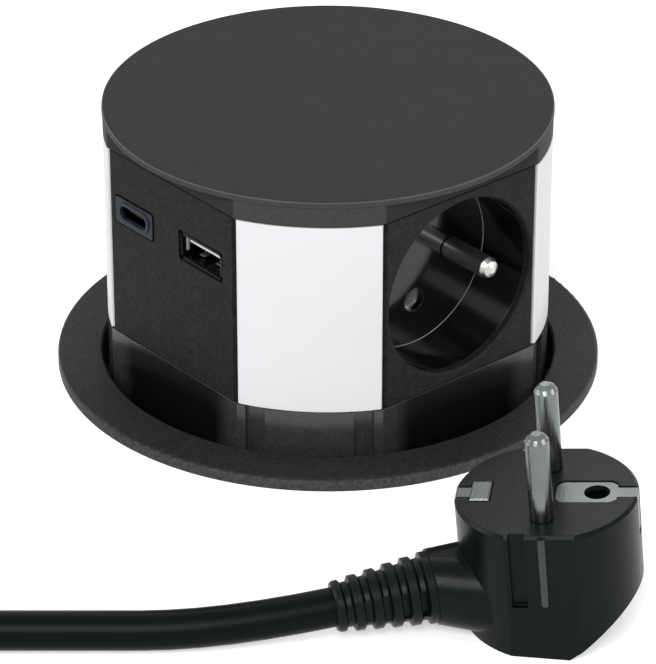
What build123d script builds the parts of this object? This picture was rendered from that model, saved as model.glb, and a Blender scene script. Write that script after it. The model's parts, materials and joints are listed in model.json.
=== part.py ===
from build123d import *
import math
import os

# Pop up desk socket, millimetres. The origin is on the axis, level with the desk top, +Z up.
# The -Y facet carries the USB sockets, the other three facets carry earthed mains sockets.

# Lid
LID_R = 49.0
LID_TOP = 62.5
LID_DISC_T = 1.35
LID_BOTTOM = 56.75
LID_WALL = 2.2

# Column: a cylinder with four flats
COLUMN_R = 48.85
APOTHEM = 43.76
PLATE_Z0 = 12.64
PLATE_Z1 = 56.5
PLATE_T = 2.0
PLATE_HALF = 21.5
PANEL_T = 1.8
PANEL_GAP_DEG = 0.25
BAND_TOP = 12.4
BAND_BOTTOM = -10.0
BAND_WALL = 2.2
FLOOR_Z0 = 8.0
FLOOR_Z1 = 10.5
TRAVEL = 59.8

# Guide slots on the round corners of the band
SLOT_DEG = 13.8
SLOT_W = 4.3
SLOT_DEPTH_R = 47.6

# Socket
SOCKET_Z = 34.6
MOUTH_R = 20.0
WELL_DEPTH = 15.0
WELL_WALL = 1.4
WELL_FLOOR = 2.0
PIN_SPACING = 19.0
CONTACT_HOLE_R = 2.75
EARTH_PIN_R = 2.4
SHANK_R = 2.1
EARTH_PIN_U = 10.0
EARTH_PIN_L = 14.0
TULIP_R = 3.2
TULIP_BORE_R = 2.3

# USB facet, u to the right as seen from outside
USB_C_U = -12.6
USB_C_Z = 43.3
USB_A_U = 10.1
USB_A_Z = 43.2
BOARD_Z = 40.35
BOARD_T = 1.6

# Flange and sleeve
FLANGE_R = 60.25
FLANGE_T = 2.73
MOUTH_OPENING_R = 50.36
SLEEVE_R = 53.4
SLEEVE_BORE_R = 51.4
LEDGE_Z = -7.7
SLEEVE_BOTTOM = -71.5
RAIL_APOTHEM = 44.25
RAIL_HALF = 8.0
COVER_BOTTOM = -86.0
COVER_FLOOR = 2.5
SCREW_CIRCLE_R = 47.9
RING_Z0 = -30.0
RING_Z1 = -22.0
RING_R = 58.6

# Lift springs
SPRING_CIRCLE_R = 40.0
SPRING_R = 4.45
SPRING_WIRE_R = 0.55
SPRING_TURNS = 9

# Latch in the middle of the bottom cover
LATCH_TOP = -61.5
PLUNGER_TOP = -56.6

# Plug and cord, laid out in a frame turned about Z: x along the cord, y away from it
LAY_ANGLE = 49.77
CORD_R = 4.0
PLUG_X = 45.5
PLUG_Y = -106.5
PLUG_W = 36.5
PLUG_FLATS = 33.7
PLUG_H = 28.5
PLUG_PIN_R = 2.4
PLUG_PIN_L = 19.0
PLUG_TURN = -8.0
PLUG_TILT = 5.0
NECK_START = (35.5, -109.0, 8.4)
RELIEF_START = (20.5, -110.4, 8.6)
RELIEF_LENGTH = 20.0
RELIEF_PITCH = 3.7
RELIEF_TILT = 6.0
RELIEF_YAW = 12.0
CORD_Z = 4.1
COIL_X = -132.0
COIL_R = 52.6
COIL_PITCH = 8.6
COIL_RISE = 8.6
COIL_Z = 5.1
COIL_TURNS = 4
GLAND_Z = -78.5
GLAND_TIP = -80.4
GLAND_SHAFT_R = 5.2


def column_section(radius, apothem):
    """The column's outline: a circle cut by four flats."""
    return Circle(radius) & Rectangle(2 * apothem, 2 * apothem)


def slab(z0, z1, sketch):
    """A level slice of a section from one height to another."""
    return extrude(Pos(0, 0, z0) * sketch, z1 - z0)


def cylinder(x, y, z0, z1, radius):
    """An upright round bar."""
    return slab(z0, z1, Pos(x, y) * Circle(radius))


def box(x0, x1, y0, y1, z0, z1):
    """A block between two corners."""
    centre = ((x0 + x1) / 2, (y0 + y1) / 2, (z0 + z1) / 2)
    return Pos(*centre) * Box(abs(x1 - x0), abs(y1 - y0), abs(z1 - z0))


def bar_x(x0, x1, y, z, radius):
    """A round bar along X."""
    plane = Plane(origin=(x0, y, z), x_dir=(0, 1, 0), z_dir=(1, 0, 0))
    return extrude(plane * Circle(radius), x1 - x0)


def turned(shape, angle):
    """The shape turned about the column's axis."""
    return Rot(0, 0, angle) * shape


def sector(angle0, angle1, reach=80.0):
    """A flat wedge between two angles, to cut an arc out of a ring."""
    a0 = math.radians(angle0)
    a1 = math.radians(angle1)
    tips = [(reach * math.cos(a), reach * math.sin(a)) for a in (a0, (a0 + a1) / 2, a1)]
    return make_face(Polyline((0, 0), *tips, close=True))


def facet_half_angle():
    """Half the angle that a flat takes out of the circle."""
    return math.degrees(math.acos(APOTHEM / COLUMN_R))


def corner_points(radius, start=45):
    """Four points on the diagonals."""
    angles = [math.radians(start + 90 * k) for k in range(4)]
    return [(radius * math.cos(a), radius * math.sin(a)) for a in angles]


# Lid pieces


def lid():
    """Thin disc on a hollow body with the column's four flats, ribbed below."""
    disc = slab(LID_TOP - LID_DISC_T, LID_TOP, Circle(LID_R))
    disc = fillet(disc.edges().group_by(Axis.Z)[-1], 0.45)
    body = slab(LID_BOTTOM, LID_TOP - 0.5, column_section(COLUMN_R, APOTHEM))
    hollow = slab(LID_BOTTOM, LID_TOP - 2.6, column_section(COLUMN_R - LID_WALL, APOTHEM - LID_WALL))
    shell = disc + body - hollow
    for x, y in corner_points(40.5):
        shell += cylinder(x, y, LID_BOTTOM, LID_TOP - 2, 3.4)
    for angle in (45, 135):
        shell += turned(box(-37.5, 37.5, -0.8, 0.8, LID_TOP - 4.6, LID_TOP - 2), angle)
    for x, y in corner_points(40.5):
        shell -= cylinder(x, y, LID_BOTTOM, LID_BOTTOM + 3.6, 1.1)
    return shell


def lid_screw(x, y):
    """Countersunk screw from the carriage's top tab into the lid."""
    head = cylinder(x, y, PLATE_Z1 - 3.0, PLATE_Z1 - 2.0, 2.2)
    return head + cylinder(x, y, PLATE_Z1 - 2.0, LID_BOTTOM + 3.4, 1.1)


def lid_screws():
    return [lid_screw(x, y) for x, y in corner_points(40.5)]


# Column pieces


def band_shell():
    """Skirt below the panels, hollow, with its guide slots and stop hooks."""
    outer = slab(BAND_BOTTOM, BAND_TOP, column_section(COLUMN_R, APOTHEM))
    inner = column_section(COLUMN_R - BAND_WALL, APOTHEM - BAND_WALL)
    shell = outer - slab(BAND_BOTTOM, FLOOR_Z0, inner) - slab(FLOOR_Z1, BAND_TOP, inner)
    lip = slab(BAND_BOTTOM, BAND_BOTTOM + 2, column_section(SLEEVE_BORE_R - 0.3, APOTHEM))
    lip -= slab(BAND_BOTTOM, BAND_BOTTOM + 2, inner)
    shell += lip
    for corner in range(4):
        for side in (-1, 1):
            slot = box(SLOT_DEPTH_R, 52, -SLOT_W / 2, SLOT_W / 2, BAND_BOTTOM, BAND_TOP)
            shell -= turned(slot, 45 + 90 * corner + side * SLOT_DEG)
    return shell


def corner_post(angle):
    """Post behind a white panel, with a screw boss and a tab below the lid."""
    ring = Circle(COLUMN_R - PANEL_T - 0.1) - Circle(43.2)
    wall = slab(FLOOR_Z1 - 0.5, PLATE_Z1, ring & sector(angle - 14, angle + 14))
    x = 40.5 * math.cos(math.radians(angle))
    y = 40.5 * math.sin(math.radians(angle))
    boss = cylinder(x, y, FLOOR_Z1 - 0.5, PLATE_Z1, 3.4)
    return wall + boss - cylinder(x, y, FLOOR_Z1 + 8, PLATE_Z1 - 2.0, 2.4) - cylinder(x, y, 40, PLATE_Z1, 1.2)


def carriage_base():
    """Skirt, floor, corner posts, spring pockets and the boss of the striker."""
    base = band_shell()
    for k in range(4):
        base += corner_post(45 + 90 * k)
    for angle in (-45, 135):
        pocket = cylinder(SPRING_CIRCLE_R, 0, FLOOR_Z0 - 5, FLOOR_Z0 + 0.5, 6.4)
        pocket -= cylinder(SPRING_CIRCLE_R, 0, FLOOR_Z0 - 5, FLOOR_Z0, 5.3)
        base += turned(pocket, angle)
    base -= cylinder(18, 0, FLOOR_Z0 - 1, FLOOR_Z1 + 1, 2.3)
    return base


def corner_panel(angle):
    """White curved panel between two facets, with its upright edges eased."""
    half = 45 - facet_half_angle() - PANEL_GAP_DEG
    ring = Circle(COLUMN_R) - Circle(COLUMN_R - PANEL_T)
    panel = slab(PLATE_Z0, PLATE_Z1, ring & sector(angle - half, angle + half))
    outer = panel.edges().filter_by(GeomType.LINE).filter_by(Axis.Z)
    outer = [e for e in outer if math.hypot(e.center().X, e.center().Y) > COLUMN_R - 0.1]
    return chamfer(outer, 0.3)


def plate_outline():
    """Section of a facet plate: bevelled upright edges, sides cut towards the axis."""
    return [
        (APOTHEM, -PLATE_HALF + 0.8),
        (APOTHEM, PLATE_HALF - 0.8),
        (APOTHEM - 0.9, PLATE_HALF - 0.45),
        (APOTHEM - PLATE_T, PLATE_HALF - 1.0),
        (APOTHEM - PLATE_T, -PLATE_HALF + 1.0),
        (APOTHEM - 0.9, -PLATE_HALF + 0.45),
    ]


def blank_plate():
    """Facet plate of the +X side before its openings are cut."""
    return slab(PLATE_Z0, PLATE_Z1, make_face(Polyline(*plate_outline(), close=True)))


def facet_plate(angle):
    """Socket plate with its round mouth."""
    plate = blank_plate() - bar_x(APOTHEM - 4, APOTHEM + 2, 0, SOCKET_Z, MOUTH_R)
    rim = Plane(origin=(APOTHEM - 0.5, 0, SOCKET_Z), x_dir=(0, 1, 0), z_dir=(1, 0, 0))
    rim_far = Plane(origin=(APOTHEM + 0.1, 0, SOCKET_Z), x_dir=(0, 1, 0), z_dir=(1, 0, 0))
    plate -= loft([rim * Circle(MOUTH_R), rim_far * Circle(MOUTH_R + 0.6)])
    return turned(plate, angle)


def socket_well(angle):
    """Cup behind the mouth: floor with two contact holes and the earth pin's hole, collars behind."""
    back = APOTHEM - PLATE_T
    floor_x = APOTHEM - WELL_DEPTH
    well = bar_x(floor_x - WELL_FLOOR, back, 0, SOCKET_Z, MOUTH_R + WELL_WALL)
    well -= bar_x(floor_x, back + 1, 0, SOCKET_Z, MOUTH_R)
    for side in (-1, 1):
        z = SOCKET_Z + side * PIN_SPACING / 2
        well += bar_x(floor_x - 8, floor_x - WELL_FLOOR, 0, z, TULIP_R + 1.2)
        well -= bar_x(floor_x - 9, floor_x - WELL_FLOOR, 0, z, TULIP_R)
        well -= bar_x(floor_x - WELL_FLOOR - 1, floor_x + 1, 0, z, CONTACT_HOLE_R)
    well += bar_x(floor_x - 6, floor_x, EARTH_PIN_U, SOCKET_Z, EARTH_PIN_R + 1.2)
    well -= bar_x(floor_x - 7, floor_x + 1, EARTH_PIN_U, SOCKET_Z, SHANK_R)
    return turned(well, angle)


def earth_pin(angle):
    """Round earth pin with a domed tip and a shank behind the well's floor."""
    floor_x = APOTHEM - WELL_DEPTH
    tip = floor_x + EARTH_PIN_L
    profile = [
        (floor_x - 8, 0),
        (floor_x - 8, SHANK_R),
        (floor_x + 0.3, SHANK_R),
        (floor_x + 0.3, EARTH_PIN_R),
        (tip - 1.6, EARTH_PIN_R),
        (tip - 0.5, EARTH_PIN_R - 0.6),
        (tip, EARTH_PIN_R - 1.6),
        (tip, 0),
    ]
    face = make_face(Polyline(*[(x, r, 0) for x, r in profile], close=True))
    pin = Pos(0, EARTH_PIN_U, SOCKET_Z) * revolve(face, Axis.X)
    return turned(pin, angle)


def tulip(x0, x1, z):
    """Contact sleeve with four slots for one plug pin."""
    body = bar_x(x0, x1, 0, z, TULIP_R) - bar_x(x0 + 1.0, x1 + 1, 0, z, TULIP_BORE_R)
    body -= box(x0 + 3, x1 - 6, -0.4, 0.4, z - 5, z + 5)
    return body


def bus(z):
    """Ring that carries the three contacts of one pole."""
    rail = slab(z - 0.6, z + 0.6, Circle(9.6) - Circle(4.5))
    floor_x = APOTHEM - WELL_DEPTH
    for angle in (0, 90, 180):
        rail += turned(tulip(8.8, floor_x - WELL_FLOOR, z), angle)
    return rail


def earth_bus():
    """Earth ring with one turned-up ear for each earth pin."""
    ring = slab(SOCKET_Z - 0.6, SOCKET_Z + 0.6, Circle(17.0) - Circle(13.5))
    end = APOTHEM - WELL_DEPTH - 8
    for angle in (0, 90, 180):
        tab = box(12.5, end, EARTH_PIN_U - 2.5, EARTH_PIN_U + 2.5, SOCKET_Z - 0.6, SOCKET_Z + 0.6)
        ear = box(end - 1.2, end, EARTH_PIN_U - 2.5, EARTH_PIN_U + 2.5, SOCKET_Z - 3, SOCKET_Z + 3)
        ring += turned(tab + ear, angle)
    return ring


# USB facet, made on the +X side and turned to -Y


def slot_bar(x0, x1, u, z, width, height, radius):
    """Bar along X with a rounded rectangular section."""
    plane = Plane(origin=(x0, u, z), x_dir=(0, 1, 0), z_dir=(1, 0, 0))
    return extrude(plane * RectangleRounded(width, height, radius), x1 - x0)


def to_usb_side(shape):
    return turned(shape, -90)


def usb_plate():
    """Plain facet plate with the USB openings and the ledges that hold the board."""
    plate = blank_plate()
    plate -= slot_bar(40, 45, USB_C_U, USB_C_Z, 13.6, 6.9, 1.0)
    plate -= slot_bar(40, 45, USB_A_U, USB_A_Z, 14.9, 7.3, 0.7)
    back = APOTHEM - PLATE_T
    for u in (-18.2, 18.2):
        plate += box(back - 12, back + 0.5, u - 1.6, u + 1.6, BOARD_Z - BOARD_T - 2.4, BOARD_Z - BOARD_T)
        plate += box(back - 3, back + 0.5, u - 1.6, u + 1.6, BOARD_Z - BOARD_T - 8, BOARD_Z - BOARD_T - 2)
    return to_usb_side(plate)


def usb_c_bezel():
    """Slate frame with a raised rim round the small port, held by a flange behind the plate."""
    back = APOTHEM - PLATE_T
    bezel = slot_bar(back - 0.1, APOTHEM + 0.15, USB_C_U, USB_C_Z, 13.1, 6.4, 0.8)
    bezel += slot_bar(APOTHEM, APOTHEM + 0.4, USB_C_U, USB_C_Z, 10.6, 4.9, 2.3)
    bezel += slot_bar(back - 1.2, back, USB_C_U, USB_C_Z, 15.2, 8.4, 1.2)
    bezel -= box(back - 2, back, USB_C_U - 9, USB_C_U + 9, BOARD_Z - 2, USB_C_Z - 1.4)
    return to_usb_side(bezel - slot_bar(40, 45, USB_C_U, USB_C_Z, 9.0, 3.3, 1.6))


def usb_c_shell():
    """Oval metal shell seated in the bezel and on the board."""
    shell = slot_bar(APOTHEM - 8.5, APOTHEM - 0.4, USB_C_U, USB_C_Z, 9.0, 3.3, 1.6)
    shell -= slot_bar(APOTHEM - 7.3, APOTHEM + 1, USB_C_U, USB_C_Z, 8.4, 2.7, 1.3)
    foot = box(APOTHEM - 8.5, APOTHEM - 2.6, USB_C_U - 3, USB_C_U + 3, BOARD_Z, USB_C_Z - 1.5)
    return to_usb_side(shell + foot)


def usb_c_tongue():
    """Thin contact tongue in the middle of the small port."""
    return to_usb_side(slot_bar(APOTHEM - 7.3, APOTHEM - 1.4, USB_C_U, USB_C_Z, 6.7, 0.7, 0.3))


def usb_a_shell():
    """Folded metal shell with a flared front edge."""
    shell = slot_bar(APOTHEM - 13.5, APOTHEM - 0.3, USB_A_U, USB_A_Z, 13.1, 5.7, 0.5)
    shell += slot_bar(APOTHEM - 0.9, APOTHEM - 0.2, USB_A_U, USB_A_Z, 13.9, 6.3, 0.5)
    shell -= slot_bar(APOTHEM - 12.3, APOTHEM + 1, USB_A_U, USB_A_Z, 12.3, 4.9, 0.3)
    return to_usb_side(shell)


def usb_a_tongue():
    """Flat contact tongue in the upper half of the port, on its rear block."""
    tongue = box(APOTHEM - 12.3, APOTHEM - 1.6, USB_A_U - 5.6, USB_A_U + 5.6, USB_A_Z + 0.1, USB_A_Z + 1.9)
    block = box(APOTHEM - 12.3, APOTHEM - 9.5, USB_A_U - 6.0, USB_A_U + 6.0, USB_A_Z - 2.3, USB_A_Z + 2.3)
    return to_usb_side(tongue + block)


def usb_board():
    """Circuit board on the plate's ledges."""
    board = box(15.5, APOTHEM - PLATE_T - 0.3, -20, 20, BOARD_Z - BOARD_T, BOARD_Z)
    return to_usb_side(board)


def usb_transformer():
    """Transformer of the charger, hanging below its board."""
    core = box(18, 31, -7.5, 7.5, BOARD_Z - BOARD_T - 12, BOARD_Z - BOARD_T)
    core = chamfer(core.edges().filter_by(Axis.Z), 1.0)
    winding = cylinder(24.5, 0, BOARD_Z - BOARD_T - 14.0, BOARD_Z - BOARD_T - 12, 4.5)
    return to_usb_side(core + winding)


# Sleeve, cover and what holds the part in the desk


def mounting_sleeve():
    """Flange and tube in one, with stop ledge, guide rails and screw holes."""
    flange = slab(0, FLANGE_T, Circle(FLANGE_R))
    flange = fillet(flange.edges().group_by(Axis.Z)[-1], 0.9)
    sleeve = flange + slab(SLEEVE_BOTTOM, 0.5, Circle(SLEEVE_R))
    sleeve -= slab(LEDGE_Z, FLANGE_T, Circle(MOUTH_OPENING_R))
    sleeve -= slab(SLEEVE_BOTTOM, LEDGE_Z, Circle(SLEEVE_BORE_R))
    inner_edge = sleeve.edges().group_by(Axis.Z)[-1].sort_by(SortBy.LENGTH)[0]
    sleeve = chamfer(inner_edge, 0.4)
    rail_outline = Circle(SLEEVE_BORE_R + 0.5) & Pos(RAIL_APOTHEM + 10, 0) * Rectangle(20, 2 * RAIL_HALF)
    for k in range(4):
        rail = slab(SLEEVE_BOTTOM, -9.0, rail_outline)
        rail -= cylinder(SCREW_CIRCLE_R, 0, SLEEVE_BOTTOM, -58, 1.45)
        sleeve += turned(rail, 90 * k)
    return sleeve


def fixing_ring():
    """Lobed ring screwed up the sleeve against the underside of the desk."""
    ring = slab(RING_Z0, RING_Z1, Circle(RING_R) - Circle(SLEEVE_R))
    for k in range(16):
        ring -= turned(cylinder(RING_R + 1.2, 0, RING_Z0, RING_Z1, 2.6), 22.5 * k + 11.25)
    return ring


def bottom_cover():
    """Shallow cup that closes the sleeve, with spring posts, screw bosses and the cord's saddle."""
    cup = slab(COVER_BOTTOM, SLEEVE_BOTTOM, Circle(SLEEVE_R))
    cup = fillet(cup.edges().group_by(Axis.Z)[0], 2.0)
    cup -= slab(COVER_BOTTOM + COVER_FLOOR, SLEEVE_BOTTOM, Circle(SLEEVE_BORE_R))
    floor = COVER_BOTTOM + COVER_FLOOR
    for k in range(4):
        cup += turned(cylinder(SCREW_CIRCLE_R, 0, floor - 0.5, SLEEVE_BOTTOM, 3.9), 90 * k)
        cup -= turned(cylinder(SCREW_CIRCLE_R, 0, COVER_BOTTOM, SLEEVE_BOTTOM, 1.45), 90 * k)
        cup -= turned(cylinder(SCREW_CIRCLE_R, 0, COVER_BOTTOM, floor, 3.1), 90 * k)
    for angle in (-45, 135):
        cup += turned(cylinder(SPRING_CIRCLE_R, 0, floor - 0.5, floor + 6, 3.5), angle)
    saddle = box(-45, -36, -13, 13, floor - 0.5, GLAND_Z)
    saddle -= bar_x(-46, -35, 0, GLAND_Z, CORD_R)
    for side in (-1, 1):
        saddle -= cylinder(-40.5, side * 9, floor, GLAND_Z, 1.1)
    opening = bar_x(-56, -51.0, 0, GLAND_Z, 6.0)
    return cup - turned(opening, LAY_ANGLE) + turned(saddle, LAY_ANGLE)


def cover_screw():
    """Pan head screw up through the cover into a rail."""
    head = cylinder(SCREW_CIRCLE_R, 0, COVER_BOTTOM + 0.4, COVER_BOTTOM + COVER_FLOOR, 2.9)
    return head + cylinder(SCREW_CIRCLE_R, 0, COVER_BOTTOM + COVER_FLOOR, -60, 1.45)


def cover_screws():
    return [turned(cover_screw(), 90 * k) for k in range(4)]


def cord_gland():
    """Tapered bend relief with ribs, gripped in the cover's wall."""
    floor = COVER_BOTTOM + COVER_FLOOR
    body = bar_x(-48.9, -51.0, 0, GLAND_Z, 6.6) & box(-52, -48, -10, 10, floor, GLAND_Z + 10)
    body += bar_x(-51.0, -53.9, 0, GLAND_Z, 6.0)
    start = Plane(origin=(-53.4, 0, GLAND_Z), x_dir=(0, 1, 0), z_dir=(-1, 0, 0))
    end = Plane(origin=(GLAND_TIP, 0, GLAND_Z), x_dir=(0, 1, 0), z_dir=(-1, 0, 0))
    body += loft([start * Circle(6.2), end * Circle(GLAND_SHAFT_R)])
    body += bar_x(-53.4, -55.4, 0, GLAND_Z, 6.9)
    for k in range(5):
        x = -58.4 - 4.2 * k
        body += bar_x(x, x - 2.0, 0, GLAND_Z, 6.7 - 0.15 * k)
    body -= bar_x(-40, GLAND_TIP - 1, 0, GLAND_Z, CORD_R)
    return turned(body, LAY_ANGLE)


def cord_inside():
    """The cord's end from the gland's tip through its bore to the clamp."""
    return turned(bar_x(GLAND_TIP, -27, 0, GLAND_Z, CORD_R), LAY_ANGLE)


def cord_clamp():
    """Arched bar screwed down over the cord's end."""
    clamp = box(-44.5, -36.5, -12.5, 12.5, GLAND_Z, GLAND_Z + 6)
    clamp -= bar_x(-46, -35, 0, GLAND_Z, CORD_R)
    for side in (-1, 1):
        clamp -= box(-45, -36, side * 9 - 3.6, side * 9 + 3.6, GLAND_Z + 3, GLAND_Z + 7)
        clamp -= cylinder(-40.5, side * 9, GLAND_Z, GLAND_Z + 3, 1.1)
    return turned(clamp, LAY_ANGLE)


def clamp_screw(side):
    """Short pan head screw of the cord clamp."""
    screw = cylinder(-40.5, side * 9, GLAND_Z + 3, GLAND_Z + 4.8, 2.3)
    screw += cylinder(-40.5, side * 9, GLAND_Z - 4.4, GLAND_Z + 3, 1.1)
    return turned(screw, LAY_ANGLE)


def clamp_screws():
    return [clamp_screw(side) for side in (-1, 1)]


def latch_housing():
    """Block on the cover's floor with a square well for the plunger."""
    floor = COVER_BOTTOM + COVER_FLOOR
    block = box(-6.5, 6.5, -5.0, 5.0, floor, LATCH_TOP)
    block = chamfer(block.edges().filter_by(Axis.Z), 1.0)
    foot = box(-8.5, 8.5, -6.5, 6.5, floor, floor + 1.5)
    return block + foot - box(-4.2, 4.2, -2.7, 2.7, -76, LATCH_TOP)


def latch_plunger():
    """Push-push plunger with two claws that reach round the striker's head."""
    plunger = box(-4.0, 4.0, -2.5, 2.5, -71, -61.0)
    for side in (-1, 1):
        claw = box(side * 2.3, side * 3.6, -1.6, 1.6, -61.5, PLUNGER_TOP)
        plunger += chamfer(claw.edges().group_by(Axis.Z)[-1], 0.35)
    return plunger


def latch_striker():
    """Headed stud under the middle of the carriage's floor."""
    profile = [(0, FLOOR_Z0), (5.0, FLOOR_Z0), (5.0, 6.6), (1.3, 5.8), (1.3, 3.2), (1.9, 2.8), (1.9, 2.0), (1.2, 1.4), (0, 1.4)]
    face = make_face(Polyline(*[(r, 0, z) for r, z in profile], close=True))
    return revolve(face, Axis.Z)


# Wound forms and the cord


def biarc(p0, t0, p1, t1):
    """Two arcs, tangent to each other, from p0 along t0 to p1 along t1."""
    chord = p1 - p0
    both = t0 + t1
    a = 2 * (1 - t0.dot(t1))
    b = chord.dot(both)
    reach = (-b + math.sqrt(b * b + a * chord.dot(chord))) / a
    q0 = p0 + t0 * reach
    q1 = p1 - t1 * reach
    middle = (q0 + q1) * 0.5
    onward = (q1 - q0).normalized()
    return [Edge.make_tangent_arc(p0, t0, middle), Edge.make_tangent_arc(middle, onward, p1)]


def wound_edges(position, first, last, step, end_directions=None):
    """Biarcs through a winding, whose position is a function of the turn count."""
    count = round((last - first) / step)
    places = [first + step * k for k in range(count + 1)]
    points = [Vector(*position(n)) for n in places]
    tangents = []
    for n in places:
        tangents.append((Vector(*position(n + 1e-4)) - Vector(*position(n - 1e-4))).normalized())
    if end_directions:
        tangents[0] = Vector(*end_directions[0]).normalized()
        tangents[-1] = Vector(*end_directions[1]).normalized()
    edges = []
    for k in range(count):
        edges += biarc(points[k], tangents[k], points[k + 1], tangents[k + 1])
    return edges


def tube_along(edges, radius, name, sides, section_turn=0):
    """Tube of many sides on a run of edges, with its volume compared with section times length."""
    wire = Wire(edges)
    start = wire @ 0
    heading = wire % 0
    section = Rot(0, 0, section_turn) * RegularPolygon(radius, sides)
    tube = sweep(Plane(origin=start, z_dir=heading) * section, path=wire)
    expected = section.area * wire.length
    print(f"{name}: length {wire.length:.1f} mm, volume {tube.volume:.1f}, expected {expected:.1f}")
    return tube


def route_tube(points, radius, name):
    """Tube on straight runs joined by arcs as large as their runs allow."""
    corners = [Vector(*p) for p in points]
    radii = []
    for before, here, after in zip(corners, corners[1:], corners[2:]):
        turn = math.radians((here - before).get_angle(after - here))
        shorter = min((here - before).length, (after - here).length)
        radii.append(0.45 * shorter / math.tan(turn / 2))
    path = FilletPolyline(*corners, radius=radii)
    print(f"{name}: radii", [round(r, 1) for r in radii])
    return tube_along(path.edges(), radius, name, 16)


def least_gap(position, first, last, radius, name):
    """Least clear gap of a winding to itself, measured on points."""
    count = int((last - first) * 60)
    places = [first + (last - first) * k / count for k in range(count + 1)]
    points = [position(n) for n in places]
    gap = 1e9
    for i in range(0, count + 1):
        for j in range(i + 30, count + 1):
            gap = min(gap, math.dist(points[i], points[j]) - 2 * radius)
    print(f"{name}: least gap to itself {gap:.2f} mm")


def coil_radius(n):
    """Winds in at a steady rate to the middle of the coil, then out again."""
    return COIL_R - COIL_PITCH * min(n, COIL_TURNS - n)


def coil_height(n):
    """Climbs one layer in the half turn where the spiral reverses."""
    share = min(max((n - COIL_TURNS / 2 + 0.25) / 0.5, 0), 1)
    return COIL_Z + COIL_RISE * share * share * (3 - 2 * share)


def coil_centre_y():
    """The coil's near side is in line with the cord that comes from the plug."""
    return cord_turn_point()[1] + COIL_R


def coil_position(n):
    angle = 2 * math.pi * n
    radius = coil_radius(n)
    return (COIL_X - radius * math.sin(angle), coil_centre_y() - radius * math.cos(angle), coil_height(n))


def relief_direction():
    """The relief leaves the plug a little downwards and to the front."""
    tilt = math.radians(RELIEF_TILT)
    yaw = math.radians(RELIEF_YAW)
    return (-math.cos(tilt) * math.cos(yaw), -math.cos(tilt) * math.sin(yaw), -math.sin(tilt))


def relief_end():
    return tuple(RELIEF_START[k] + RELIEF_LENGTH * relief_direction()[k] for k in range(3))


def cord_landing_point():
    """Where the cord comes down to the desk."""
    end = relief_end()
    run = (end[2] - CORD_Z) / math.sin(math.radians(RELIEF_TILT))
    return tuple(end[k] + run * relief_direction()[k] for k in range(3))


def cord_turn_point():
    """End of the straight stretch, out to the left of the socket."""
    x, y, z = cord_landing_point()
    return (-84.0, y, z)


def cord_to_plug():
    """From the plug's relief to the coil."""
    turn = cord_turn_point()
    y = turn[1]
    points = [relief_end(), cord_landing_point(), turn, (-104.0, y, COIL_Z), (COIL_X + 8, y, COIL_Z)]
    return turned(route_tube(points, CORD_R, "cord_to_plug"), LAY_ANGLE)


def cord_coil():
    """Put-away coil of four turns in two layers, one unbroken tube."""
    y = cord_turn_point()[1]
    lead_in = Edge.make_line((COIL_X + 8, y, COIL_Z), (COIL_X, y, COIL_Z))
    top = COIL_Z + COIL_RISE
    lead_out = Edge.make_line((COIL_X, y, top), (COIL_X - 8, y, top))
    along = (-1, 0, 0)
    turns = wound_edges(coil_position, 0, COIL_TURNS, 0.25, (along, along))
    least_gap(coil_position, 0, COIL_TURNS, CORD_R, "cord_coil")
    return turned(tube_along([lead_in] + turns + [lead_out], CORD_R, "cord_coil", 12), LAY_ANGLE)


def coil_tie():
    """Strap round the coil's four strands on its far side."""
    middle_r = COIL_R - COIL_PITCH
    y = coil_centre_y() + middle_r
    z = COIL_Z + COIL_RISE / 2
    plane = Plane(origin=(COIL_X - 2.5, y, z), x_dir=(0, 1, 0), z_dir=(1, 0, 0))
    size = COIL_PITCH + 2 * CORD_R + 0.3
    strap = RectangleRounded(size + 1.6, size + 1.6, CORD_R + 0.8) - RectangleRounded(size, size, CORD_R)
    tie = extrude(plane * strap, 5)
    tie += slot_bar(COIL_X - 3.4, COIL_X + 3.4, y, z + size / 2 + 1.6, 6.0, 2.4, 0.8)
    return turned(tie, LAY_ANGLE)


def cord_under_desk():
    """From the coil over the desk's edge and back below the desk to the gland."""
    y = cord_turn_point()[1]
    top = COIL_Z + COIL_RISE
    points = [
        (COIL_X - 8, y, top),
        (-168, y, top),
        (-206, y + 2.6, 7),
        (-236, y + 7.6, -12),
        (-248, y + 14.6, -45),
        (-240, y + 27.6, -78),
        (-218, y + 47.6, -100),
        (-188, y + 69.6, -106),
        (-158, y + 91.6, -100),
        (-130, -8, -88),
        (-104, 0, GLAND_Z),
        (GLAND_TIP, 0, GLAND_Z),
    ]
    return turned(route_tube(points, CORD_R, "cord_under_desk"), LAY_ANGLE)


def spring_position(n):
    """Lift spring at rest, from the cover's floor to the carriage's floor."""
    angle = 2 * math.pi * n
    low = COVER_BOTTOM + COVER_FLOOR + SPRING_WIRE_R + 0.05
    high = FLOOR_Z0 - SPRING_WIRE_R - 0.05
    share = n / SPRING_TURNS
    return (SPRING_R * math.cos(angle), SPRING_R * math.sin(angle), low + (high - low) * share)


def lift_spring(angle):
    """Open coil spring over its post."""
    edges = wound_edges(spring_position, 0, SPRING_TURNS, 0.5)
    spring = tube_along(edges, SPRING_WIRE_R, "lift_spring", 6, 20)
    least_gap(spring_position, 0, SPRING_TURNS, SPRING_WIRE_R, "lift_spring")
    return turned(Pos(SPRING_CIRCLE_R, 0, 0) * spring, angle)


def lead_position(n):
    """Coiled inner lead round the latch."""
    angle = 2 * math.pi * n
    low = COVER_BOTTOM + COVER_FLOOR + 2.2
    high = FLOOR_Z0 - 2.2
    return (18 * math.cos(angle), 18 * math.sin(angle), low + (high - low) * n / 5)


def inner_lead():
    """Coiled lead that follows the carriage up and down."""
    edges = wound_edges(lead_position, 0, 5, 0.5)
    least_gap(lead_position, 0, 5, 1.9, "inner_lead")
    return tube_along(edges, 1.9, "inner_lead", 8)


# Plug, made at the origin with its cord towards -X, then leaned and laid in place


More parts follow.
